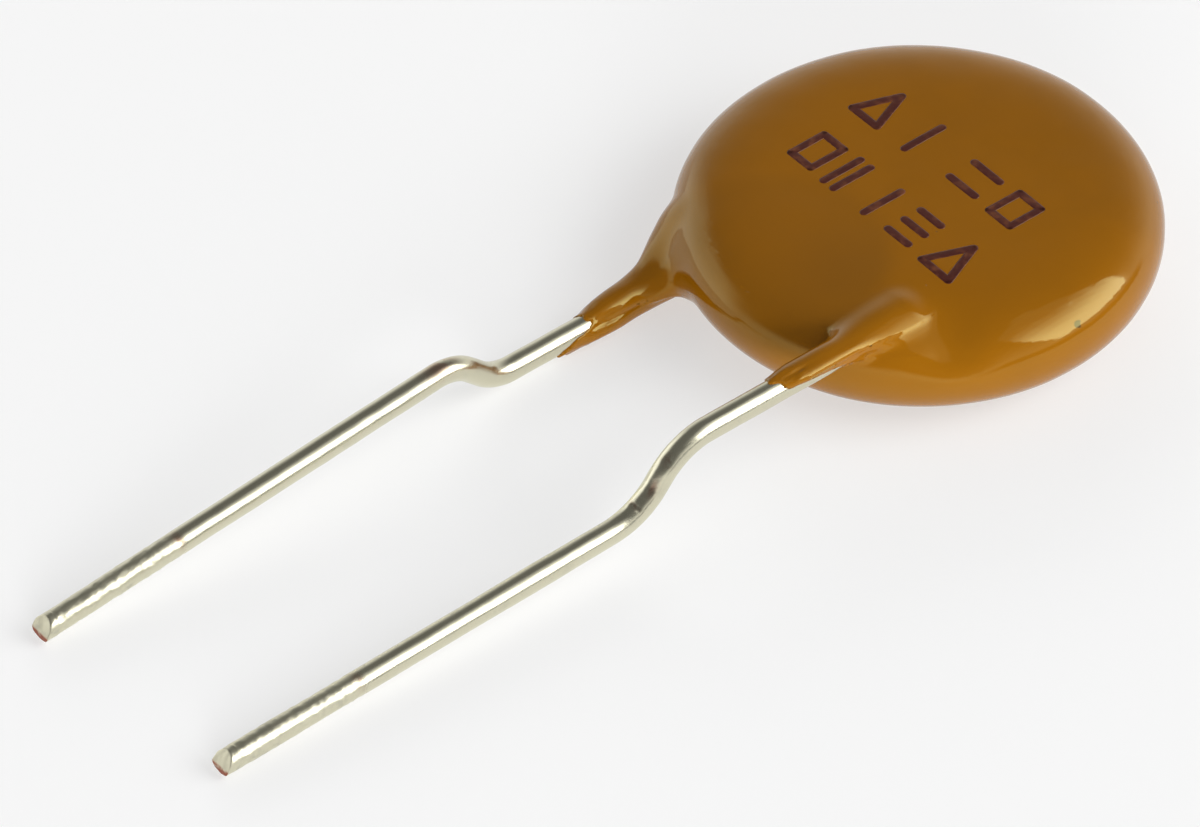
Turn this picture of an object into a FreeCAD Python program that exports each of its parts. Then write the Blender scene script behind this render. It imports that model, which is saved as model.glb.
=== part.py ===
# Radial-leaded polymer resettable fuse, lying as it comes to rest, in millimetres.
# A round conductive-polymer chip carries nickel foil on both faces. A tinned copper lead
# is soldered to each foil, and one dip-coated epoxy skin wraps chip, solder and the
# lead roots. The right lead lies on the upper foil and the left lead on the lower foil,
# and a stand-off kink brings each of them back towards the middle of the thickness.
# +X runs from the left lead to the right one, +Y from the lead tips towards the disc,
# and +Z is up. The origin is under the middle of the part, on the surface it lies on.

import FreeCAD
import Part
import math
import os

# Wire and its place on the chip
wire_dia = 0.51
pitch = 5.10
soldered_length = 3.80

# Stand-off kink and free end of each lead, along Y from the disc's centre
left_near_bend = 8.80
left_far_bend = 9.79
left_far_height = 1.28
left_near_radius = 1.20
left_far_radius = 1.10
left_reach = 19.95
left_splay = 0.08
right_near_bend = 8.32
right_far_bend = 9.33
right_far_height = 0.64
right_near_radius = 1.50
right_far_radius = 1.60
right_reach = 19.56
right_splay = -0.07

# Sheared wire end: two bevels that meet in a low ridge across the wire
ridge_drop = 0.09
upper_bevel_angle = 38.0
lower_bevel_angle = 24.0

# Chip, foils and solder
chip_dia = 8.90
chip_thick = 0.92
foil_thick = 0.05
solder_film = 0.02
solder_half_width = 0.62
solder_toe = 0.04
solder_edge_margin = 0.12

# Epoxy skin
face_cover = 0.59
rim_cover = 0.45
wire_cover = 0.09
rim_depth = 1.25
web_radius = 0.80
lip_cover = 0.045
ridge_reach = 2.80
taper_start = 5.45
left_end_upper = 6.30
left_end_lower = 7.35
right_end_inner = 6.00
right_end_outer = 4.50

# Derived sizes
wire_r = wire_dia / 2
half_pitch = pitch / 2
chip_half = chip_thick / 2
foil_face = chip_half + foil_thick
wire_level = foil_face + solder_film + wire_r
body_half = foil_face + face_cover
body_r = chip_dia / 2 + rim_cover
sleeve_r = wire_r + wire_cover
lip_r = wire_r + lip_cover

# The lower ridge of the skin and both lead tips touch the surface
mid_z = wire_level + sleeve_r
disc_y = (max(left_reach, right_reach) - body_r) / 2
chip_edge_y = math.sqrt((chip_dia / 2) ** 2 - half_pitch ** 2)
wire_end_y = soldered_length - chip_edge_y

x_dir = FreeCAD.Vector(1, 0, 0)
y_dir = FreeCAD.Vector(0, 1, 0)
z_dir = FreeCAD.Vector(0, 0, 1)
disc_centre = FreeCAD.Vector(0, disc_y, mid_z)


def at(x, y, z):
    """A point given from the disc's centre along X and Y, and from the surface along Z."""
    return FreeCAD.Vector(x, disc_y + y, z)


def bent_path(corners, radii):
    """Straight runs through the corners, each corner rounded by an arc of its radius."""
    edges = []
    start = corners[0]
    for corner, following, radius in zip(corners[1:-1], corners[2:], radii):
        into = (corner - start).normalize()
        out = (following - corner).normalize()
        turn = into.getAngle(out)
        setback = radius * math.tan(turn / 2)
        first = corner - into * setback
        last = corner + out * setback
        inward = (out - into).normalize()
        middle = corner + inward * (radius / math.cos(turn / 2) - radius)
        edges.append(Part.makeLine(start, first))
        edges.append(Part.Arc(first, middle, last).toShape())
        start = last
    edges.append(Part.makeLine(start, corners[-1]))
    return Part.Wire(edges)


def beyond_plane(point, outward, across, span, depth):
    """A block on the side of a plane that its outward direction points to."""
    block = Part.makeBox(span, span, depth, FreeCAD.Vector(-span / 2, -span / 2, 0))
    side = outward.cross(across).normalize()
    turned = FreeCAD.Rotation(across, side, outward, "ZXY")
    block.Placement = FreeCAD.Placement(point, turned)
    return block


def sheared_end(lead, tip, along):
    """Trims the free end to two bevels, as side cutters leave it."""
    across = along.cross(z_dir).normalize()
    upward = across.cross(along)
    ridge = tip - upward * ridge_drop
    for angle, side in ((upper_bevel_angle, 1), (lower_bevel_angle, -1)):
        tilt = math.radians(angle)
        outward = along * math.cos(tilt) + upward * (side * math.sin(tilt))
        lead = lead.cut(beyond_plane(ridge, outward, across, 4 * wire_dia, 4 * wire_dia))
    return lead


def lead_corners(side, near_bend, far_bend, far_height, reach, splay):
    """Inner end, the two kink corners and the tip of a lead. The side is -1 or 1."""
    x = side * half_pitch
    level = mid_z + side * wire_level
    return [
        at(x, wire_end_y, level),
        at(x, -near_bend, level),
        at(x, -far_bend, far_height),
        at(x + side * splay, -reach, wire_r),
    ]


def formed_lead(corners, radii):
    """Round wire swept along the bent path, cut square inside and sheared outside."""
    path = bent_path(corners, radii)
    along = (corners[1] - corners[0]).normalize()
    section = Part.Wire(Part.makeCircle(wire_r, corners[0], along))
    wire = path.makePipeShell([section], True, True)
    free_run = (corners[-1] - corners[-2]).normalize()
    return sheared_end(wire, corners[-1], free_run)


def chip():
    return Part.makeCylinder(chip_dia / 2, chip_thick, disc_centre - z_dir * chip_half)


def foil(side):
    """Foil punched with the chip, so it has the chip's own outline."""
    base = chip_half if side > 0 else -foil_face
    return Part.makeCylinder(chip_dia / 2, foil_thick, disc_centre + z_dir * base)


def solder_half_section(x, side):
    """Half of the fillet's section: toe on the foil, hollow flank, shoulder on the wire."""
    foot = at(x, 0, mid_z + side * foil_face)
    shoulder_height = solder_film + wire_r
    toe = foot + x_dir * solder_half_width
    toe_top = toe + z_dir * (side * solder_toe)
    shoulder = foot + x_dir * (wire_r * 1.05) + z_dir * (side * shoulder_height)
    hollow = (toe_top + shoulder) * 0.5 - x_dir * 0.05 - z_dir * (side * 0.05)
    crown = foot + z_dir * (side * shoulder_height)
    edges = [
        Part.makeLine(foot, toe),
        Part.makeLine(toe, toe_top),
        Part.Arc(toe_top, hollow, shoulder).toShape(),
        Part.makeLine(shoulder, crown),
        Part.makeLine(crown, foot),
    ]
    return Part.Face(Part.Wire(edges))


def solder(side, lead):
    """Fillet along the wire, round at its inner end, with the wire's seat cut into it."""
    x = side * half_pitch
    section = solder_half_section(x, side)
    section.translate(y_dir * wire_end_y)
    run = section.extrude(y_dir * -soldered_length)
    pivot = at(x, wire_end_y, mid_z)
    other_run = run.mirror(pivot, x_dir)
    round_end = section.revolve(pivot, z_dir, 180)
    on_foil = Part.makeCylinder(chip_dia / 2 - solder_edge_margin, 2 * mid_z, at(0, 0, 0))
    fillet = run.fuse([other_run, round_end]).common(on_foil).removeSplitter()
    return fillet.cut(lead)


def skin_disc():
    """Rounded disc: flat faces that run into an elliptical rim."""
    flat_r = body_r - rim_depth
    middle = FreeCAD.Vector(0, 0, 0)
    face_centre = FreeCAD.Vector(0, 0, body_half)
    shoulder = FreeCAD.Vector(flat_r, 0, body_half)
    widest = FreeCAD.Vector(body_r, 0, 0)
    rim = Part.Ellipse(widest, shoulder, FreeCAD.Vector(flat_r, 0, 0))
    outline = Part.Wire([
        Part.makeLine(middle, widest),
        Part.Arc(rim, 0, math.pi / 2).toShape(),
        Part.makeLine(shoulder, face_centre),
        Part.makeLine(face_centre, middle),
    ])
    upper = Part.Face(outline).revolve(middle, z_dir, 360)
    lower = upper.mirror(middle, z_dir)
    body = upper.fuse(lower).removeSplitter()
    body.translate(disc_centre)
    return body


def sleeve(side, end_reach):
    """Skin round one lead: a ridge that sinks into the face, a neck, and a thin end."""
    x = side * half_pitch
    level = mid_z + side * wire_level
    out = z_dir * side
    dome_foot = at(x, -ridge_reach, level)
    dome_tip = dome_foot + y_dir * sleeve_r
    dome_mid = dome_foot + (y_dir + out) * (sleeve_r * math.sqrt(0.5))
    taper_foot = at(x, -taper_start, level)
    end_foot = at(x, -end_reach, level)
    outline = Part.Wire([
        Part.Arc(dome_tip, dome_mid, dome_foot + out * sleeve_r).toShape(),
        Part.makeLine(dome_foot + out * sleeve_r, taper_foot + out * sleeve_r),
        Part.makeLine(taper_foot + out * sleeve_r, end_foot + out * lip_r),
        Part.makeLine(end_foot + out * lip_r, end_foot),
        Part.makeLine(end_foot, dome_tip),
    ])
    return Part.Face(outline).revolve(dome_foot, y_dir, 360)


def is_web_root(edge, side):
    """True for an edge where a sleeve comes out of the disc."""
    if edge.Degenerated:
        return False
    first, last = edge.ParameterRange
    for step in (0.1, 0.3, 0.5, 0.7, 0.9):
        point = edge.valueAt(first + (last - first) * step) - disc_centre
        past_end = max(point.y + ridge_reach, 0)
        off_x = point.x - side * half_pitch
        off_z = point.z - side * wire_level
        off_axis = math.sqrt(off_x ** 2 + off_z ** 2 + past_end ** 2)
        on_sleeve = abs(off_axis - sleeve_r) < wire_dia / 200
        in_disc = math.hypot(point.x, point.y) < body_r and abs(point.z) < body_half
        if not (on_sleeve and in_disc):
            return False
    return True


def slanted_end(shape, side, first, second, toward):
    """Trims a sleeve on a slant: it ends at first on one side and at second on the other."""
    level = mid_z + side * wire_level
    middle = at(side * half_pitch, -(first + second) / 2, level)
    outward = (y_dir * (-2 * sleeve_r) + toward * (first - second)).normalize()
    across = toward.cross(y_dir).normalize()
    span = math.hypot(2 * sleeve_r, first - second) + wire_cover
    return shape.cut(beyond_plane(middle, outward, across, span, span))


def coating(inner_pieces):
    """Skin: disc and sleeves joined by soft webs, less everything that it wraps."""
    left_longest = max(left_end_upper, left_end_lower)
    right_longest = max(right_end_inner, right_end_outer)
    body = skin_disc().fuse([sleeve(-1, left_longest), sleeve(1, right_longest)]).removeSplitter()
    roots = [edge for edge in body.Edges if is_web_root(edge, -1) or is_web_root(edge, 1)]
    body = body.makeFillet(web_radius, roots)
    body = slanted_end(body, -1, left_end_lower, left_end_upper, z_dir)
    body = slanted_end(body, 1, right_end_inner, right_end_outer, x_dir)
    return body.cut(inner_pieces)


def build():
    """All pieces by name, from the chip outwards."""
    left_corners = lead_corners(
        -1, left_near_bend, left_far_bend, left_far_height, left_reach, left_splay
    )
    right_corners = lead_corners(
        1, right_near_bend, right_far_bend, right_far_height, right_reach, right_splay
    )
    lead_left = formed_lead(left_corners, (left_near_radius, left_far_radius))
    lead_right = formed_lead(right_corners, (right_near_radius, right_far_radius))
    pieces = {
        "polymer_disc": chip(),
        "foil_top": foil(1),
        "foil_bottom": foil(-1),
        "lead_left": lead_left,
        "lead_right": lead_right,
        "solder_top": solder(1, lead_right),
        "solder_bottom": solder(-1, lead_left),
    }
    pieces["coating"] = coating(list(pieces.values()))
    return pieces


os.makedirs("parts", exist_ok=True)
for name, shape in build().items():
    shape.exportStep("parts/" + name + ".step")
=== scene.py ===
import bpy
import math
import numpy as np
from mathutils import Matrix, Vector


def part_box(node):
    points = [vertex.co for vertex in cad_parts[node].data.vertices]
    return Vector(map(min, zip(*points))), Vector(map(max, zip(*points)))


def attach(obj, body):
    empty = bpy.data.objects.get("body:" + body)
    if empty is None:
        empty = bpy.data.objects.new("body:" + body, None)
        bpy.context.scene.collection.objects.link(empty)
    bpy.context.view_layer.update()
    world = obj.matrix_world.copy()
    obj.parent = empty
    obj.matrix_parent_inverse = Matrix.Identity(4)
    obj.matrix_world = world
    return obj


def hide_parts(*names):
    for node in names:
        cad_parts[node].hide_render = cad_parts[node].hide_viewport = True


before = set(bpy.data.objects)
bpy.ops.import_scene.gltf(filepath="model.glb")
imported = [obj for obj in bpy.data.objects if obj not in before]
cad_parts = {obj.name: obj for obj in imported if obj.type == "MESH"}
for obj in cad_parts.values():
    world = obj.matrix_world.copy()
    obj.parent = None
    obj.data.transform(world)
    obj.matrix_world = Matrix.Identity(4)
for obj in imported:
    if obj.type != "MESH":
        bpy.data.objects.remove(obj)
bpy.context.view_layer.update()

# Polymer chip: a round disc of carbon-filled polymer, pressed and punched from sheet.
# It is matt black, and the other pieces are built up on its two faces.
MM = 0.001  # points and sizes are in millimetres up to the finished mesh
chip_low, chip_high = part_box("polymer_disc")
disc_centre = np.array((chip_low + chip_high) / 2) / MM
CHIP_BLACK = (0.016, 0.015, 0.014, 1.0)
CHIP_DUSTY = (0.045, 0.042, 0.040, 1.0)
CHIP_TOOTH = 0.00002  # metres, as are the depths of the other finishes' texture


class Socket:
    """One shader socket. Sums, differences and products of sockets add Math nodes."""

    def __init__(self, tree, link):
        self.tree = tree
        self.link = link

    def node(self, kind, settings=None, inputs=None, output=0):
        """Adds a node with its settings, then the values or links of its sockets."""
        made = self.tree.nodes.new(kind)
        for name, value in (settings or {}).items():
            setattr(made, name, value)
        for name, value in (inputs or {}).items():
            if isinstance(value, Socket):
                self.tree.links.new(value.link, made.inputs[name])
            else:
                made.inputs[name].default_value = value
        return Socket(self.tree, made.outputs[output])

    def maths(self, operation, *values):
        """A Math node on this socket and the values that follow."""
        inputs = {place + 1: value for place, value in enumerate(values)}
        inputs[0] = self
        return self.node("ShaderNodeMath", {"operation": operation}, inputs)

    def __add__(self, other):
        return self.maths("ADD", other)

    __radd__ = __add__

    def __mul__(self, other):
        return self.maths("MULTIPLY", other)

    __rmul__ = __mul__

    def __sub__(self, other):
        return self.maths("SUBTRACT", other)

    def __rsub__(self, other):
        return self.maths("MULTIPLY", -1.0).maths("ADD", other)

    def rise(self, start, end):
        """0 below start, 1 above end, with a smooth step between them."""
        settings = {"interpolation_type": "SMOOTHSTEP"}
        return self.node("ShaderNodeMapRange", settings, {0: self, 1: start, 2: end})

    def mix(self, first, second):
        """The first colour where this socket is 0, and the second where it is 1."""
        settings = {"data_type": "RGBA"}
        return self.node("ShaderNodeMix", settings, {0: self, 6: first, 7: second}, 2)

    def grain(self, scale, detail=3.0, roughness=0.5):
        """Noise on this position, around 0.5."""
        inputs = {"Vector": self, "Scale": scale, "Detail": detail, "Roughness": roughness}
        return self.node("ShaderNodeTexNoise", None, inputs)

    def bumps(self, depth):
        """A normal raised by this height, for a depth in metres."""
        return self.node("ShaderNodeBump", None, {"Height": self, "Distance": depth}, "Normal")


def finish_of(name, constants):
    """A material with one Principled shader, and the position that its patterns use."""
    made = bpy.data.materials.new(name)
    made.use_nodes = True
    shader = made.node_tree.nodes["Principled BSDF"]
    for socket, value in constants.items():
        shader.inputs[socket].default_value = value
    start = Socket(made.node_tree, None)
    place = start.node("ShaderNodeTexCoord", None, None, "Object")
    return made, shader, place


def feed(shader, **values):
    """Links sockets to a shader's inputs; an underscore stands for a space."""
    for name, value in values.items():
        value.tree.links.new(value.link, shader.inputs[name.replace("_", " ")])


def finish_solid(node, made):
    """Gives a carried-over solid its finish."""
    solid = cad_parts[node]
    solid.data.materials.clear()
    solid.data.materials.append(made)


polymer, polymer_shader, place = finish_of("carbon_polymer", {"Metallic": 0.0})
dust = place.grain(2500.0, 4.0).rise(0.45, 0.7)
feed(
    polymer_shader,
    Base_Color=dust.mix(CHIP_BLACK, CHIP_DUSTY),
    Roughness=0.55 + 0.2 * dust,
    Normal=place.grain(9000.0, 3.0).bumps(CHIP_TOOTH),
)
finish_solid("polymer_disc", polymer)

# Foils: thin nickel electrodes laminated on both faces of the chip and punched with it.
# Their nodular surface is satin, with cloudy patches left by the press.
NICKEL = (0.62, 0.57, 0.50, 1.0)
NICKEL_DULL = (0.42, 0.39, 0.35, 1.0)
FOIL_NODULES = 0.000005
nickel, nickel_shader, place = finish_of("nickel_foil", {"Metallic": 1.0})
cloud = place.grain(700.0, 4.0).rise(0.35, 0.65)
feed(
    nickel_shader,
    Base_Color=cloud.mix(NICKEL, NICKEL_DULL),
    Roughness=0.32 + 0.18 * cloud,
    Normal=place.grain(20000.0, 2.0).bumps(FOIL_NODULES),
)
finish_solid("foil_top", nickel)
finish_solid("foil_bottom", nickel)

# Leads: tinned copper wire, kinked over a forming tool and sheared off a strip. One lies
# on each foil. The tin is bright, with tool marks at the kinks and scuffs near the free
# ends, and copper shows where it is worn through and low on the sheared faces.
WIRE_R = 0.255
HALF_PITCH = 2.55
WIRE_LEVEL = 0.785  # each wire's axis, above or below the middle of the chip
WIRE_IN = 0.153  # the inner ends, past the disc's centre along Y
RING = 48  # points round a wire
RUN_STEP = 0.05
ARC_STATIONS = 36
LONG_WAVE, SHORT_WAVE = (2.2, 0.0022), (0.5, 0.0009)  # size and height of the wire's unevenness
SCUFF_FROM, SCUFF_TO = 3.6, 3.0  # distances from the tip between which the scuffs begin
CHATTER_SIZE, CHATTER_HIGH, SCUFF_DEEP = 0.16, 0.0030, 0.004
RIDGE_DROP = 0.05  # the low ridge of the sheared face, under the wire's axis
UPPER_BEVEL, LOWER_BEVEL = 38.0, 8.0
SHEAR_ROUND = 0.012
SHEAR_SMEAR = 0.004
SHEAR_PULL = 0.5  # length of wire whose rings lean into the sheared face
# Rings that close the sheared face: share of the wire's radius, and how far each lies back
CAP_RINGS = ((0.985, 0.004), (0.95, 0.0), (0.86, 0.0), (0.72, 0.0), (0.56, 0.0), (0.4, 0.0),
             (0.24, 0.0), (0.1, 0.0))
COPPER_EDGE = (0.04, -0.01)  # from the ridge, where the copper fades in


def at(x, y, z):
    """A point in millimetres, given from the disc's centre in plan and from the floor."""
    return np.array([disc_centre[0] + x, disc_centre[1] + y, z])


def smooth(value, start, end):
    """0 at start, 1 at end, with a smooth step between them."""
    t = np.clip((value - start) / (end - start), 0.0, 1.0)
    return t * t * (3.0 - 2.0 * t)


def ripple(seed, size, count=24):
    """Smooth noise in space, about 1 high, with waves around the given size."""
    draw = np.random.default_rng(seed)
    ways = draw.normal(size=(count, 3))
    ways *= (2.0 * np.pi / size) / np.linalg.norm(ways, axis=1)[:, None]
    ways *= draw.uniform(0.6, 1.5, size=(count, 1))
    starts = draw.uniform(0.0, 2.0 * np.pi, size=count)
    weight = math.sqrt(2.0 / count)

    def height(points):
        return weight * np.cos(points @ ways.T + starts).sum(axis=-1)

    return height


def lead_corners(side, near_bend, far_bend, far_height, reach, splay):
    """Inner end, both bends and tip of a lead. The side is -1 or 1."""
    level = disc_centre[2] + side * WIRE_LEVEL
    return [
        at(side * HALF_PITCH, WIRE_IN, level),
        at(side * HALF_PITCH, -near_bend, level),
        at(side * HALF_PITCH, -far_bend, far_height),
        at(side * HALF_PITCH + splay, -reach, WIRE_R),
    ]


def wire_line(corners, radii):
    """Stations along the straight runs and the arcs that round their corners."""
    places, ways = [], []
    start = corners[0]

    def run(end):
        count = max(2, int(np.linalg.norm(end - start) / RUN_STEP))
        way = (end - start) / np.linalg.norm(end - start)
        for share in np.linspace(0.0, 1.0, count, endpoint=False):
            places.append(start + (end - start) * share)
            ways.append(way)

    for corner, following, radius in zip(corners[1:-1], corners[2:], radii):
        into = (corner - start) / np.linalg.norm(corner - start)
        out = (following - corner) / np.linalg.norm(following - corner)
        turn = math.acos(float(into @ out))
        setback = radius * math.tan(turn / 2)
        run(corner - into * setback)
        inward = (out - into) / np.linalg.norm(out - into)
        centre = corner + inward * (radius / math.cos(turn / 2))
        middle = (into + out) / np.linalg.norm(into + out)
        for share in np.linspace(-0.5, 0.5, ARC_STATIONS, endpoint=False):
            angle = turn * share
            spoke = inward * math.cos(angle) - middle * math.sin(angle)
            places.append(centre - radius * spoke)
            ways.append(middle * math.cos(angle) + inward * math.sin(angle))
        start = corner + out * setback
    run(corners[-1])
    places.append(corners[-1])
    ways.append(ways[-1])
    return np.array(places), np.array(ways)


def mesh_piece(name, points, faces, made):
    """A smooth-shaded mesh object from points in millimetres."""
    mesh = bpy.data.meshes.new(name)
    mesh.from_pydata([tuple(p) for p in np.asarray(points) * MM], [], [tuple(f) for f in faces])
    mesh.update()
    mesh.polygons.foreach_set("use_smooth", [True] * len(mesh.polygons))
    mesh.materials.append(made)
    piece = bpy.data.objects.new(name, mesh)
    bpy.context.scene.collection.objects.link(piece)
    return piece


def note(piece, name, values):
    """Keeps one number for each vertex, for the material to read."""
    layer = piece.data.attributes.new(name, "FLOAT", "POINT")
    layer.data.foreach_set("value", np.asarray(values, dtype=np.float32))


def lead_piece(name, corners, radii, seed, marks, made):
    """Swept wire with tool marks, a scuffed end and a two-bevel sheared tip."""
    line, ways = wire_line(corners, radii)
    length = np.r_[0.0, np.cumsum(np.linalg.norm(np.diff(line, axis=0), axis=1))]
    to_tip = length[-1] - length
    across = np.cross(ways, (0.0, 0.0, 1.0))
    across /= np.linalg.norm(across, axis=1)[:, None]
    upward = np.cross(across, ways)
    turn = np.linspace(0.0, 2.0 * np.pi, RING, endpoint=False)
    spoke = (np.cos(turn)[None, :, None] * across[:, None, :]
             + np.sin(turn)[None, :, None] * upward[:, None, :])
    bare = line[:, None, :] + spoke * WIRE_R
    wave = ripple(seed, LONG_WAVE[0])(bare) * LONG_WAVE[1]
    wave += ripple(seed + 1, SHORT_WAVE[0])(bare) * SHORT_WAVE[1]
    worn = smooth(to_tip, SCUFF_FROM, SCUFF_TO)[:, None]
    chatter = ripple(seed + 2, CHATTER_SIZE, 40)(bare)
    wave += worn * (CHATTER_HIGH * chatter - SCUFF_DEEP)
    flat = np.zeros_like(wave)
    for way_off, angle, depth, reach, spread in marks:
        along = np.exp(-(((to_tip - way_off) / reach) ** 2))[:, None]
        lean = np.degrees(np.arctan2(spoke[..., 2], spoke[..., 0])) - angle
        lean = (lean + 180.0) % 360.0 - 180.0
        dent = along * np.exp(-((lean / spread) ** 2))
        wave -= depth * dent
        flat += dent
    points = line[:, None, :] + spoke * (WIRE_R + wave)[:, :, None]

    # The tip: each ring near the end leans towards the two bevels, and the cap closes it
    end, way, high = line[-1], ways[-1], upward[-1]

    def cut(offset):
        """How far before the tip the sheared face lies, for an offset from the axis."""
        up = offset @ high + RIDGE_DROP
        steep_up, steep_down = [math.tan(math.radians(a)) for a in (UPPER_BEVEL, LOWER_BEVEL)]
        depth = np.where(up > 0.0, up * steep_up, -up * steep_down)
        smear = SHEAR_SMEAR * ripple(seed + 3, 0.22)(offset)
        return -np.sqrt(depth ** 2 + SHEAR_ROUND ** 2) + SHEAR_ROUND + smear

    offset = points - line[:, None, :]
    pull = smooth(to_tip, SHEAR_PULL, 0.0)[:, None]
    rim_cut = cut(offset - (offset @ way)[..., None] * way)
    points = points + (pull * (rim_cut - SHEAR_ROUND))[:, :, None] * way
    rows = [points]
    rim = offset[-1]
    for share, back in CAP_RINGS:
        ring = rim * share
        rows.append((end + ring + (cut(ring) - back)[:, None] * way)[None])
    points = np.concatenate(rows)
    count = len(points)
    tip = end + cut(np.zeros(3)) * way
    vertices = np.vstack([points.reshape(-1, 3), tip, line[0]])
    faces = []
    for row in range(count - 1):
        for k in range(RING):
            a, b = row * RING + k, row * RING + (k + 1) % RING
            faces.append((a, a + RING, b + RING, b))
    last = (count - 1) * RING
    for k in range(RING):
        faces.append((last + (k + 1) % RING, last + k, len(vertices) - 2))
        faces.append((k, (k + 1) % RING, len(vertices) - 1))
    piece = mesh_piece(name, vertices, faces, made)
    cap = np.ones(len(CAP_RINGS) * RING)
    sheared = np.r_[np.zeros(len(line) * RING), cap, 1.0, 0.0]
    above_ridge = (vertices - end) @ high + RIDGE_DROP
    note(piece, "sheared", sheared)
    note(piece, "scuff", np.r_[np.repeat(worn[:, 0], RING), cap, 1.0, 0.0])
    note(piece, "copper", sheared * smooth(above_ridge, *COPPER_EDGE))
    note(piece, "pressed", np.clip(np.r_[flat.reshape(-1), 0.0 * cap, 0.0, 0.0], 0.0, 1.0))
    return piece


TIN = (0.73, 0.70, 0.53, 1.0)
TIN_GREY = (0.55, 0.53, 0.42, 1.0)
COPPER = (0.36, 0.10, 0.05, 1.0)
TIN_TEXTURE = 0.000004
DRAWN_OUT = (14.0, 0.6, 14.0)  # stretches the streaks along the wire, as the die left them
tin, tin_shader, place = finish_of("tinned_wire", {"Metallic": 1.0})
scuff, pressed, copper, sheared = [
    place.node("ShaderNodeAttribute", {"attribute_name": name}, None, "Fac")
    for name in ("scuff", "pressed", "copper", "sheared")
]
drawn = place.node("ShaderNodeMapping", None, {"Vector": place, "Scale": DRAWN_OUT})
streak = drawn.grain(900.0, 3.0)
blot = place.grain(2600.0, 4.0, 0.6)
tarnish = blot.rise(0.5, 0.72) * (0.25 + 0.6 * scuff)
worn_through = place.grain(5000.0, 2.0).rise(0.3, 0.55)
red = (copper + 0.55 * pressed) * worn_through
feed(
    tin_shader,
    Base_Color=red.mix(tarnish.mix(TIN, TIN_GREY), COPPER),
    Roughness=0.18 + 0.12 * streak + 0.20 * scuff * blot + 0.12 * sheared,
    Normal=(streak * 0.6 + blot * scuff * 3.0 + blot * 0.3).bumps(TIN_TEXTURE),
)

left_corners = lead_corners(
    -1, near_bend=8.80, far_bend=9.79, far_height=1.28, reach=20.05, splay=-0.08
)
right_corners = lead_corners(
    1, near_bend=8.32, far_bend=9.33, far_height=0.64, reach=19.66, splay=-0.07
)
LEFT_RADII, RIGHT_RADII = (1.20, 1.10), (1.50, 1.60)
# Each mark: distance from the tip, angle from +X towards +Z, depth, length, spread
left_marks = [(3.35, 60.0, 0.012, 0.10, 40.0), (9.9, 80.0, 0.012, 0.35, 45.0)]
right_marks = [
    (3.3, 60.0, 0.010, 0.10, 40.0),
    (10.35, 75.0, 0.030, 0.06, 34.0),
    (10.9, 50.0, 0.022, 0.22, 20.0),
    (11.5, 62.0, 0.020, 0.10, 30.0),
]
lead_left = lead_piece("lead_left_wire", left_corners, LEFT_RADII, 11, left_marks, tin)
lead_right = lead_piece("lead_right_wire", right_corners, RIGHT_RADII, 31, right_marks, tin)
for lead, node in ((lead_left, "lead_left"), (lead_right, "lead_right")):
    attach(lead, "root")
    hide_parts(node)

# Solder: a fillet along each wire on its foil, wetted up both flanks by a hot dip.
# It is bright tin alloy with frosted grain where it froze.
SOLDER = (0.66, 0.65, 0.62, 1.0)
SOLDER_FROST = (0.50, 0.49, 0.47, 1.0)
SOLDER_GRAIN = 0.00001
alloy, alloy_shader, place = finish_of("solder_alloy", {"Metallic": 1.0})
frost = place.grain(3200.0, 5.0, 0.6).rise(0.42, 0.62)
feed(
    alloy_shader,
    Base_Color=frost.mix(SOLDER, SOLDER_FROST),
    Roughness=0.18 + 0.25 * frost,
    Normal=place.grain(7000.0, 3.0).bumps(SOLDER_GRAIN),
)
finish_solid("solder_top", alloy)
finish_solid("solder_bottom", alloy)

# Coating: epoxy, dipped over chip, solder and lead roots and cured in one glossy skin.
# It runs down each wire as a neck that ends in a thin ragged lip. On the face between
# the two leads a darker patch is painted shade.
BODY_R = 4.90
BODY_HALF = 1.10
CROWN_POWER = 7.8  # how flat the face stays before it turns down into the rim
SECTION_TURN = 0.92  # share of the radius where the section's points go on by height
TABLE_STEP, TABLE_REACH, TABLE_HIGH = 0.02, 9.0, 2.6


def crown_table():
    """Distance to the disc's rounded section, on a grid of radius and height."""
    face_r = np.linspace(0.0, SECTION_TURN * BODY_R, 1500)
    face_z = BODY_HALF * np.sqrt(1.0 - (face_r / BODY_R) ** CROWN_POWER)
    rim_z = np.linspace(face_z[-1], 0.0, 400)[1:]
    rim_r = BODY_R * (1.0 - (rim_z / BODY_HALF) ** 2) ** (1.0 / CROWN_POWER)
    section_r, section_z = np.r_[face_r, rim_r], np.r_[face_z, rim_z]
    r = np.arange(0.0, TABLE_REACH, TABLE_STEP)
    z = np.arange(0.0, TABLE_HIGH, TABLE_STEP)
    gap = np.empty((len(r), len(z)))
    for i, here in enumerate(r):
        away = (section_r[None, :] - here) ** 2 + (section_z[None, :] - z[:, None]) ** 2
        gap[i] = np.sqrt(away.min(axis=1))
    inside = (r[:, None] / BODY_R) ** CROWN_POWER + (z[None, :] / BODY_HALF) ** 2 < 1.0
    gap[inside] *= -1.0
    return gap


crown_gap = crown_table()


def disc_gap(x, y, z):
    """Signed distance to the disc, from the table."""
    r = np.hypot(x, y) / TABLE_STEP
    h = np.abs(z) / TABLE_STEP
    i = np.clip(r.astype(int), 0, crown_gap.shape[0] - 2)
    j = np.clip(h.astype(int), 0, crown_gap.shape[1] - 2)
    u, v = np.clip(r - i, 0.0, 1.0), np.clip(h - j, 0.0, 1.0)
    low = crown_gap[i, j] * (1 - v) + crown_gap[i, j + 1] * v
    high = crown_gap[i + 1, j] * (1 - v) + crown_gap[i + 1, j + 1] * v
    return low * (1 - u) + high * u


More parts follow.
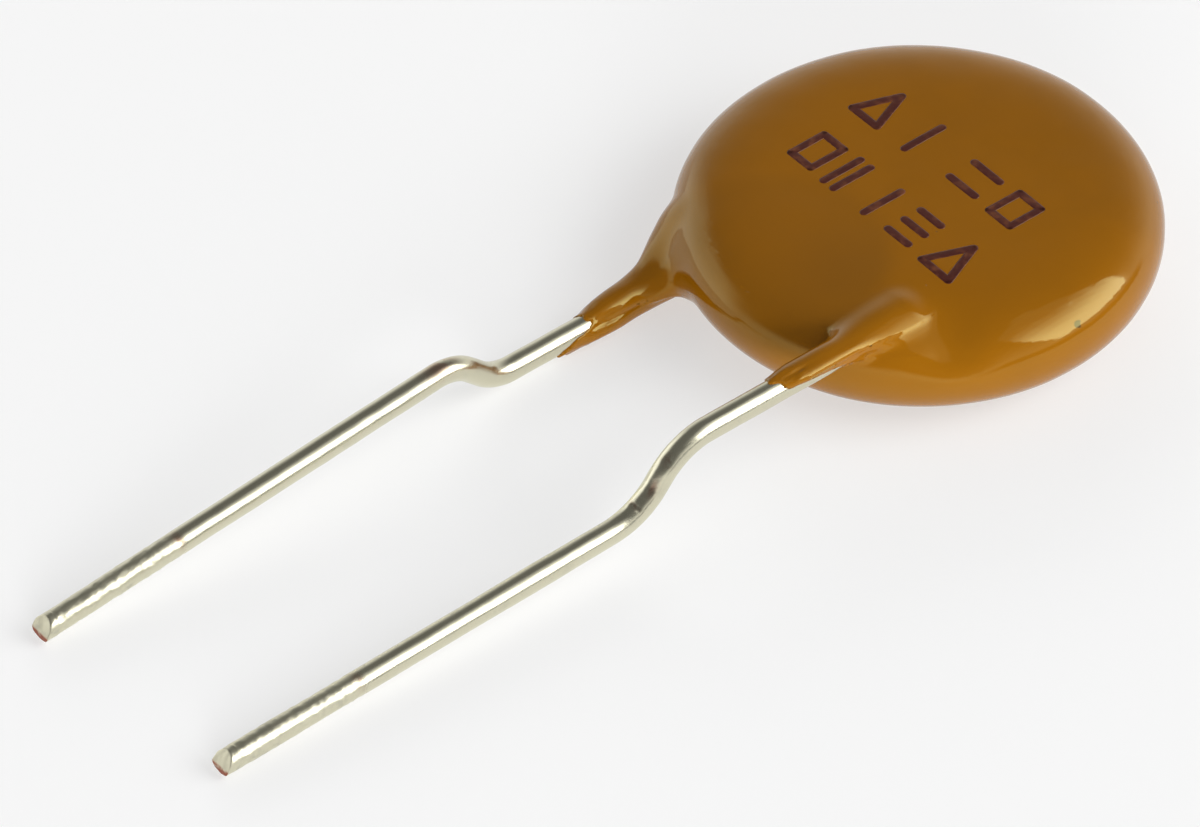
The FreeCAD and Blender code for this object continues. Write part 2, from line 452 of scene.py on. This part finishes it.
# Necks: sizes in millimetres, and stretches along Y from the disc's centre
RIDGE_START = -2.6  # where each ridge comes out of the face
NECK_COVER = 0.088
NECK_FLARE, FLARE_RUN = 0.02, (-6.2, -5.4)
LEFT_BULGE, BULGE_RUN, BULGE_SIDE = 0.09, (-6.4, -5.5), (0.0, -0.2)
LEFT_LUMPS = 0.016
LEFT_DEEP, DEEP_RUN = 0.11, (-6.6, -5.3)  # the left neck hangs deeper towards the disc
CREASE_HIGH, CREASE_AT, CREASE_SPREAD = 0.045, 50.0, 20.0  # a run along the right neck
CREASE_FROM_LIP, CREASE_RUN = (0.0, 0.4), (-3.3, -4.2)
CREST_DROP, CREST_RUN = 0.065, (-4.6, -3.3)
RIDGE_LUMP, LUMP_AT, LUMP_LONG = 0.045, -3.0, 0.5
LIP_COVER, LIP_RUN = 0.030, 0.5  # cover at the lip, and the run to full cover
LIP_SINK, SINK_RUN = 0.05, (0.015, -0.025)  # past the lip the skin sinks into the wire
LIP_STEP = 3.0  # degrees over which the lip's slant is taken
LIP_RAGGED, LIP_FRINGE = 0.035, 0.012
ALONG_WIRE, NECKS_APART = 0.4, 3.0  # unevenness runs along the wire, and differs on the two
# Where the lip ends along Y, by angle round the wire from +Z towards +X
left_lip = ((-180, -90, -50, 8, 34, 53, 64, 71, 84, 100, 130, 180),
            (-7.1, -6.7, -6.55, -6.46, -6.45, -6.55, -6.67, -6.84, -7.0, -7.15, -7.35, -7.1))
right_lip = ((-180, -150, -90, -50, -8, 13, 26, 43, 66, 73, 80, 87, 95, 108, 135, 180),
             (-4.5, -5.2, -5.8, -5.97, -6.02, -5.94, -5.84, -5.79, -5.74, -5.45, -4.98, -4.6,
              -4.35, -4.15, -4.15, -4.5))
ragged = ripple(71, 0.35, 30)
fringe = ripple(72, 0.12, 30)
lumps = ripple(74, 0.5)


def neck_gap(x, y, z, side, lip):
    """Signed distance to the ridge and neck round one lead. The side is -1 or 1."""
    dx = x - side * HALF_PITCH
    dz = side * z - WIRE_LEVEL
    angle = np.degrees(np.arctan2(dx, side * dz))
    spot = np.stack([dx, y * ALONG_WIRE, dz + side * NECKS_APART], -1)
    end = np.interp(angle, *lip) + LIP_RAGGED * ragged(spot) + LIP_FRINGE * fringe(spot)
    turned = np.interp(angle + LIP_STEP, *lip) - np.interp(angle - LIP_STEP, *lip)
    slant = turned / (math.radians(2.0 * LIP_STEP) * WIRE_R)
    past_lip = (y - end) / np.sqrt(1.0 + slant ** 2)
    cover = LIP_COVER + (NECK_COVER - LIP_COVER) * smooth(past_lip, 0.0, LIP_RUN)
    cover = cover - (LIP_COVER + LIP_SINK) * smooth(past_lip, *SINK_RUN)
    wide = WIRE_R + cover + NECK_FLARE * smooth(y, *FLARE_RUN)
    outer = WIRE_R + cover - CREST_DROP * smooth(y, *CREST_RUN)
    inner = WIRE_R + cover
    if side < 0:
        bulge = LEFT_BULGE * smooth(y, *BULGE_RUN) * smooth(dx, *BULGE_SIDE)
        wide = wide + bulge + LEFT_LUMPS * lumps(spot)
        inner = inner + LEFT_DEEP * smooth(y, *DEEP_RUN)
    else:
        crease = CREASE_HIGH * np.exp(-(((angle - CREASE_AT) / CREASE_SPREAD) ** 2))
        crease = crease * smooth(past_lip, *CREASE_FROM_LIP) * smooth(y, *CREASE_RUN)
        lump = RIDGE_LUMP * np.exp(-(((y - LUMP_AT) / LUMP_LONG) ** 2))
        wide = wide + crease
        outer = outer + crease + lump
    high = np.where(dz > 0.0, outer, inner)
    past = np.maximum(y - RIDGE_START, 0.0)
    near = np.sqrt((dx / wide) ** 2 + (dz / high) ** 2 + (past / outer) ** 2)
    steep = np.sqrt((dx / wide ** 2) ** 2 + (dz / high ** 2) ** 2 + (past / outer ** 2) ** 2)
    return near * (near - 1.0) / np.maximum(steep, 1e-6)


# A hollow in the face beside the right ridge, which fades out down the rim
SAG_AT, SAG_WIDE, SAG_LONG, SAG_DEEP, SAG_RISE = (3.60, -2.30), 0.75, 0.64, 0.17, (0.1, 0.6)
# Webs where each neck joins the disc: side, lip, size outwards, inwards and at the ridge's end
WEBS = ((-1, left_lip, 0.30, 1.05, 0.20), (1, right_lip, 0.55, 0.10, 0.45))
WEB_RUN, WEB_TURN = (-2.6, -4.0), (0.12, -0.12)
LEFT_CORNER_WEB, CORNER_RUN = 0.75, (-2.4, -3.3)  # wider still on the left neck's outer side
NECK_HALF, NECK_BACK = 1.6, RIDGE_START + 1.0  # the box in which a neck counts
SKIN_END = -7.6
# The faint unevenness of the cured face: heights, the depth and the radii where it fades
SWELL_HIGH, PEEL_HIGH, SWELL_BAND, SWELL_RUN = 0.005, 0.0012, 0.12, (5.4, 4.6)
swell = ripple(81, 4.2)
orange_peel = ripple(82, 1.1)


def soft_join(a, b, blend):
    """Union of two distances with a web of the given size between them."""
    share = np.maximum(blend - np.abs(a - b), 0.0) / blend
    return np.minimum(a, b) - share * share * blend * 0.25


def skin_gap(points):
    """Signed distance to the skin for points given from the disc's centre."""
    x, y, z = points[..., 0], points[..., 1], points[..., 2]
    body = disc_gap(x, y, z)
    sag = np.hypot((x - SAG_AT[0]) / SAG_WIDE, (y - SAG_AT[1]) / SAG_LONG)
    body = body + SAG_DEEP * np.exp(-(sag ** 2)) * smooth(z, *SAG_RISE)
    for side, lip, outward, inward, shallow in WEBS:
        if side < 0:
            inward = inward + LEFT_CORNER_WEB * smooth(x, *CORNER_RUN)
        web = outward + (inward - outward) * smooth(side * z - WIRE_LEVEL, *WEB_TURN)
        blend = shallow + (web - shallow) * smooth(y, *WEB_RUN)
        near = (y < NECK_BACK) & (np.abs(x - side * HALF_PITCH) < NECK_HALF)
        neck = neck_gap(x[near], y[near], z[near], side, lip)
        body[near] = soft_join(body[near], neck, blend[near])
    body = np.maximum(body, SKIN_END - y)
    near = (np.abs(body) < SWELL_BAND) & (y > -SWELL_RUN[0])
    wave = SWELL_HIGH * swell(points[near]) + PEEL_HIGH * orange_peel(points[near])
    body[near] += wave * smooth(np.hypot(x[near], y[near]), *SWELL_RUN)
    return body


def spaced(edges):
    """Grid lines from a list of stretches, each with its start and step."""
    lines = [np.linspace(a, b, round((b - a) / step), endpoint=False) for a, b, step in edges]
    return np.concatenate(lines)


# Cells: small round the necks, where the skin turns tightly, and plain over the disc
PLAIN, RIDGE_CELL, NECK_CELL, NECK_SIDE_CELL = 0.088, 0.060, 0.042, 0.036
grid_x = spaced([
    (-4.99, -3.15, PLAIN), (-3.15, -1.95, NECK_SIDE_CELL), (-1.95, 1.95, PLAIN),
    (1.95, 3.15, NECK_SIDE_CELL), (3.15, 5.08, PLAIN),
])
grid_y = spaced([(-7.75, -4.2, NECK_CELL), (-4.2, -2.0, RIDGE_CELL), (-2.0, 5.08, PLAIN)])
grid_z = spaced([(-1.26, 1.30, NECK_CELL)])
PROBE = 0.001
LONGEST_MOVE = 0.03


def settled(points):
    """Points moved along the skin's slope until they lie on it."""
    for _ in range(6):
        slope = np.stack([
            (skin_gap(points + PROBE * way) - skin_gap(points - PROBE * way)) / (2 * PROBE)
            for way in np.eye(3)
        ], -1)
        steep = np.maximum((slope ** 2).sum(-1), 0.25)[:, None]
        move = skin_gap(points)[:, None] * slope / steep
        points = points - np.clip(move, -LONGEST_MOVE, LONGEST_MOVE)
    return points


def skin_mesh():
    """Surface net of the skin: one vertex in each cell that it crosses, moved onto it."""
    shape = (len(grid_x), len(grid_y), len(grid_z))
    value = np.empty(shape, dtype=np.float32)
    for i, x in enumerate(grid_x):
        y, z = [line.ravel() for line in np.meshgrid(grid_y, grid_z, indexing="ij")]
        layer = skin_gap(np.stack([np.full_like(y, x), y, z], -1))
        value[i] = layer.reshape(shape[1:])
    inside = value < 0.0
    cells = [n - 1 for n in shape]
    count = np.zeros(cells, dtype=np.int8)
    for i in (0, 1):
        for j in (0, 1):
            for k in (0, 1):
                count += inside[i:i + cells[0], j:j + cells[1], k:k + cells[2]]
    crossed = (count > 0) & (count < 8)
    index = np.full(cells, -1, dtype=np.int64)
    index[crossed] = np.arange(crossed.sum())
    i, j, k = np.nonzero(crossed)
    mid = [(g[:-1] + g[1:]) / 2 for g in (grid_x, grid_y, grid_z)]
    points = settled(np.stack([mid[0][i], mid[1][j], mid[2][k]], -1))
    faces = []
    for axis in range(3):
        one, two = [a for a in range(3) if a != axis]
        ahead = np.take(inside, range(1, shape[axis]), axis)
        behind = np.take(inside, range(0, shape[axis] - 1), axis)
        spots = np.stack(np.nonzero(ahead != behind), -1)
        spots = spots[(spots[:, one] > 0) & (spots[:, two] > 0)
                      & (spots[:, one] < cells[one]) & (spots[:, two] < cells[two])]
        corner = []
        for da, db in ((1, 1), (0, 1), (0, 0), (1, 0)):
            cell = spots.copy()
            cell[:, one] -= da
            cell[:, two] -= db
            corner.append(index[cell[:, 0], cell[:, 1], cell[:, 2]])
        quad = np.stack(corner, -1)
        leaving = behind[spots[:, 0], spots[:, 1], spots[:, 2]]
        turned = leaving if axis != 1 else ~leaving
        quad[~turned] = quad[~turned][:, ::-1]
        faces.append(quad)
    return points + disc_centre, np.concatenate(faces)


OCHRE_RICH = (0.303, 0.109, 0.0018, 1.0)
OCHRE_DARK = (0.231, 0.083, 0.0020, 1.0)
SHADOW_BROWN = (0.120, 0.050, 0.0090, 1.0)
PIT_BROWN = (0.060, 0.022, 0.0050, 1.0)
PIT_PLACE = tuple((disc_centre + (4.71, 0.08, 0.59)) * MM)
PIT_EDGE = (0.00011, 0.00016)
SKIN_TEXTURE = 0.000006
EPOXY_TINT = (1.0, 1.0, 0.42, 1.0)
epoxy, epoxy_shader, place = finish_of(
    "epoxy_skin", {"Metallic": 0.0, "IOR": 1.58, "Specular Tint": EPOXY_TINT}
)
# Numbers kept on the skin's points: painted shade, and painted light towards the front right
painted_shade, painted_light = [
    place.node("ShaderNodeAttribute", {"attribute_name": name}, None, "Fac")
    for name in ("painted_shade", "painted_light")
]
cloudy = place.grain(170.0, 4.0, 0.55)
mottle = place.grain(1500.0, 3.0, 0.6)
speck = place.grain(5200.0, 2.0, 0.5).rise(0.80, 0.84)
pit_away = place.node(
    "ShaderNodeVectorMath", {"operation": "DISTANCE"}, {0: place, 1: PIT_PLACE}, "Value"
)
pit = 1.0 - (pit_away + 0.00012 * place.grain(9000.0, 1.0)).rise(*PIT_EDGE)
# The tone varies at random, and is painted lighter towards the front right and low down
tone = cloudy.rise(0.34, 0.66) * 0.55 + painted_light * 0.15 + mottle * 0.15
# Painted shade: the face between the leads is darkened towards SHADOW_BROWN
body = painted_shade.mix(tone.mix(OCHRE_DARK, OCHRE_RICH), SHADOW_BROWN)
feed(
    epoxy_shader,
    Base_Color=(speck + pit).mix(body, PIT_BROWN),
    Roughness=0.05 + 0.05 * mottle + 0.3 * speck,
    Normal=(mottle * 0.5 - 2.0 * speck).bumps(SKIN_TEXTURE),
)

skin_points, skin_faces = skin_mesh()
coat = mesh_piece("epoxy_coat", skin_points, skin_faces, epoxy)
# Painted shade: a dark patch between the leads, deepest beside the right one. Painted light:
# the tone is painted richer to the right, towards the leads and low down, as if lit more there
PATCH_AT, PATCH_OUTER, PATCH_INNER = (-0.23, -3.48), 2.60, 1.95
DEEP_AT, DEEP_SIZE = (1.2, -3.0), (1.3, 1.5)
PATCH_DARK, DEEP_DARK = 0.14, 0.24
# Painted light: the way and the run over which the skin is painted richer
RICH_WAY, RICH_RUN = (0.55, -0.6, -0.35), (-2.5, 4.5)
spot = skin_points - disc_centre
on_face = smooth(spot[:, 2], 0.5, 0.9)
patch = smooth(np.hypot(*(spot[:, :2] - PATCH_AT).T), PATCH_OUTER, PATCH_INNER)
deep = np.exp(-(((spot[:, :2] - DEEP_AT) / DEEP_SIZE) ** 2).sum(axis=1))
note(coat, "painted_shade", (PATCH_DARK + DEEP_DARK * deep) * patch * on_face)
note(coat, "painted_light", smooth(spot @ RICH_WAY, *RICH_RUN))
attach(coat, "root")
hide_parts("coating")

# Print: maroon ink marks pad-printed on the upper face, a little proud of the skin.
# They are plain shapes in two rows.
INK = (0.062, 0.012, 0.010, 1.0)
INK_THIN = (0.130, 0.035, 0.014, 1.0)
INK_TINT = (1.0, 0.8, 0.5, 1.0)
INK_TEXTURE = 0.000006
STROKE = 0.185
INK_PROUD = 0.008
# Rings of a stroke from its edge to its middle: share of its width, and share of INK_PROUD
STROKE_RINGS = ((1.0, -1.0), (1.0, 0.35), (0.8, 0.9), (0.4, 1.0), (0.02, 1.0))
ink, ink_shader, place = finish_of(
    "maroon_ink", {"Metallic": 0.0, "IOR": 1.5, "Specular Tint": INK_TINT}
)
patchy = place.grain(6000.0, 3.0).rise(0.45, 0.75)
feed(
    ink_shader,
    Base_Color=patchy.mix(INK, INK_THIN),
    Roughness=0.30 + 0.2 * patchy,
    Normal=place.grain(9000.0, 2.0).bumps(INK_TEXTURE),
)


def square(x0, x1, y0, y1):
    return [[(x0, y0), (x1, y0), (x1, y1), (x0, y1), (x0, y0)]]


def bars(x0, x1, levels):
    return [[(x0, y), (x1, y)] for y in levels]


def uprights(y0, y1, places):
    return [[(x, y0), (x, y1)] for x in places]


def triangle(x0, x1, y0, y1):
    return [[(x0, y0), (x1, y0), ((x0 + x1) / 2, y1), (x0, y0)]]


upper_row, lower_row = (0.45, 1.42), (-1.42, -0.42)
mark_lines = (
    triangle(-2.55, -1.80, *upper_row)
    + uprights(*upper_row, (-0.95,))
    + bars(0.25, 1.0, (0.60, 1.25))
    + square(1.50, 2.12, 0.55, 1.35)
    + square(-2.30, -1.70, -1.35, -0.50)
    + uprights(-1.40, -0.45, (-1.25, -0.95, -0.02))
    + bars(0.65, 1.25, (-1.35, -0.92, -0.50))
    + triangle(1.75, 2.55, *lower_row)
)


def stroke_rim(start, end):
    """Outline of one stroke with rounded ends, and the nearest points of its middle line."""
    span = np.linalg.norm(end - start)
    way = (end - start) / span
    out = np.array([-way[1], way[0]])
    along = np.linspace(0.0, span, max(2, int(span / 0.1)) + 1)[1:-1, None] * way
    rim = []
    for corner, heading, run, edge in ((end, way, -along, out), (start, -way, along, -out)):
        turn = np.linspace(-0.5 * np.pi, 0.5 * np.pi, 9)[:, None]
        rim.append(corner + STROKE / 2 * (heading * np.cos(turn) + edge * np.sin(turn)))
        rim.append(corner + run + STROKE / 2 * edge)
    rim = np.concatenate(rim)
    return rim, start + np.clip((rim - start) @ way, 0.0, span)[:, None] * way


def ink_marks():
    """Strokes with a low rounded crown, laid on the disc's face."""
    spots, lifts, faces = [], [], []
    for line in mark_lines:
        for start, end in zip(line, line[1:]):
            rim, core = stroke_rim(np.array(start), np.array(end))
            first, n = sum(len(ring) for ring in spots), len(rim)
            for share, lift in STROKE_RINGS:
                spots.append(core + (rim - core) * share)
                lifts.append(np.full(n, INK_PROUD * lift))
            last = first + (len(STROKE_RINGS) - 1) * n
            for row in range(first, last, n):
                for k in range(n):
                    a, b = row + k, row + (k + 1) % n
                    faces.append((a, b, b + n, a + n))
            faces.append(tuple(range(last, last + n)))
    spots = np.concatenate(spots)
    points = np.column_stack([spots, np.full(len(spots), BODY_HALF)])
    for _ in range(4):
        points[:, 2] -= skin_gap(points)
    points[:, 2] += np.concatenate(lifts)
    return points + disc_centre, faces


marks = mesh_piece("print_marks", *ink_marks(), ink)
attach(marks, "root")

# Floor: a plain white sheet of paper under the part. It keeps the part's shadow, and a
# glow of its own brings it up to a near white.
WHITE = (1.0, 1.0, 1.0, 1.0)
PAPER_WHITE = (0.42, 0.42, 0.42, 1.0)
PAPER_GLOW = 0.46
PAPER_LIFT = 0.045  # added once in reflections, and twice where the camera sees the paper
PAPER_HALF = 3.0
PAPER_UNDER = 0.00002
floor_mesh = bpy.data.meshes.new("floor")
floor_corners = [
    (x * PAPER_HALF, y * PAPER_HALF, 0.0) for x, y in ((-1, -1), (1, -1), (1, 1), (-1, 1))
]
floor_mesh.from_pydata(floor_corners, [], [(0, 1, 2, 3)])
floor = bpy.data.objects.new("floor", floor_mesh)
floor.location.z = -PAPER_UNDER
bpy.context.scene.collection.objects.link(floor)
paper, paper_shader, place = finish_of(
    "white_paper", {"Base Color": PAPER_WHITE, "Roughness": 0.9, "Specular IOR Level": 0.0}
)
seen = place.node("ShaderNodeLightPath", None, None, "Is Camera Ray")
mirrored = place.node("ShaderNodeLightPath", None, None, "Is Glossy Ray")
paper_strength = PAPER_GLOW + PAPER_LIFT * (2.0 * seen + mirrored)
glow = place.node("ShaderNodeEmission", None, {"Color": WHITE, "Strength": paper_strength})
principled = Socket(paper.node_tree, paper_shader.outputs[0])
lit = place.node("ShaderNodeAddShader", None, {0: principled, 1: glow})
paper.node_tree.links.new(lit.link, paper.node_tree.nodes["Material Output"].inputs["Surface"])
floor_mesh.materials.append(paper)

# Light: a softbox behind on the right that fades to its top, and two weak fills low down
# that no gloss shows. The room is pale low down and dim above, with a white card at the
# front left and a dark gap low on the right.
DIM_ROOM, LOW_WALLS, CARD, GAP_DARK = 0.14, 0.86, 0.75, 0.85
LEFT_WALL = 0.80
LAMP_DISTANCE = 0.60
FADE_RUN = (0.22, 0.85)  # shares of a lamp's height
world = bpy.data.worlds.new("studio")
bpy.context.scene.world = world
world.use_nodes = True
tree = world.node_tree
start = Socket(tree, None)
way = start.node("ShaderNodeTexCoord", None, None, "Generated")
right_way, back_way, height = [
    way.node("ShaderNodeSeparateXYZ", None, {"Vector": way}, name) for name in ("X", "Y", "Z")
]
# The room is painted by direction: X to the right, Y to the back and Z up, from -1 to 1
front = (1.0 - back_way.rise(-0.5, 0.0)) * right_way.rise(-0.7, -0.3)
low = (1.0 - height.rise(0.05, 0.75)) * (1.0 - front * height.rise(0.15, 0.4))
side_wall = LEFT_WALL + (1.0 - LEFT_WALL) * right_way.rise(-0.75, 0.1)
gap = right_way.rise(0.20, 0.40) * back_way.rise(-0.4, -0.1) * (1.0 - height.rise(0.12, 0.22))
card = (1.0 - right_way.rise(-0.70, -0.50)) * (1.0 - back_way.rise(-0.05, 0.25))
card = card * (1.0 - height.rise(0.50, 0.68))
room = (DIM_ROOM + LOW_WALLS * low * side_wall + CARD * card) * (1.0 - GAP_DARK * gap)
direct = start.node("ShaderNodeLightPath", None, None, "Is Camera Ray")
strength = direct + (1.0 - direct) * room
background = tree.nodes["Background"]
background.inputs["Color"].default_value = WHITE
tree.links.new(strength.link, background.inputs["Strength"])


def facing(azimuth, elevation):
    """The direction from the part to a lamp or camera. Azimuth 0 is at -Y and 90 at +X."""
    a, e = math.radians(azimuth), math.radians(elevation)
    return Vector((math.sin(a) * math.cos(e), -math.cos(a) * math.cos(e), math.sin(e)))


def softbox(name, azimuth, elevation, wide, high, power, fade=0.0):
    """A lamp that faces the part, and fades to its top by the given share."""
    lamp = bpy.data.lights.new(name, "AREA")
    lamp.shape = "RECTANGLE"
    lamp.size, lamp.size_y, lamp.energy = wide, high, power
    lamp.use_nodes = True
    inside = Socket(lamp.node_tree, None)
    spot = inside.node("ShaderNodeNewGeometry", None, None, "Parametric")
    up = spot.node("ShaderNodeSeparateXYZ", None, {"Vector": spot}, "Y")
    glow = 1.0 - fade * up.rise(*FADE_RUN)
    lamp.node_tree.links.new(glow.link, lamp.node_tree.nodes["Emission"].inputs["Strength"])
    holder = bpy.data.objects.new(name, lamp)
    back = facing(azimuth, elevation)
    holder.location = back * LAMP_DISTANCE
    holder.rotation_mode = "QUATERNION"
    holder.rotation_quaternion = back.to_track_quat("Z", "Y")
    holder.visible_camera = False
    bpy.context.scene.collection.objects.link(holder)
    return holder


softbox("key_softbox", 133.0, 45.0, wide=0.50, high=0.67, power=5.8, fade=0.95)
for fill in (
    softbox("front_fill", 58.0, 10.0, wide=0.30, high=0.20, power=2.7),
    softbox("back_fill", -125.0, 16.0, wide=0.40, high=0.20, power=1.3),
):
    fill.visible_glossy = False

# Camera: a long lens at the photograph's angle. It stands close enough for the near end
# of the part to look a little larger than the far one.
AIM = Vector((0.13, -0.765, 1.0)) * MM
VIEW_AZIMUTH, VIEW_ELEVATION, VIEW_DISTANCE = 50.38, 42.87, 0.260
LENS, SENSOR = 399.1, 36.0
camera = bpy.data.cameras.new("camera")
camera.lens, camera.sensor_width = LENS, SENSOR
camera.clip_start, camera.clip_end = 0.01, 20.0
viewer = bpy.data.objects.new("camera", camera)
back = facing(VIEW_AZIMUTH, VIEW_ELEVATION)
viewer.location = AIM + back * VIEW_DISTANCE
viewer.rotation_mode = "QUATERNION"
viewer.rotation_quaternion = back.to_track_quat("Z", "Y")
bpy.context.scene.collection.objects.link(viewer)
bpy.context.scene.camera = viewer
bpy.context.scene.view_settings.view_transform = "Standard"
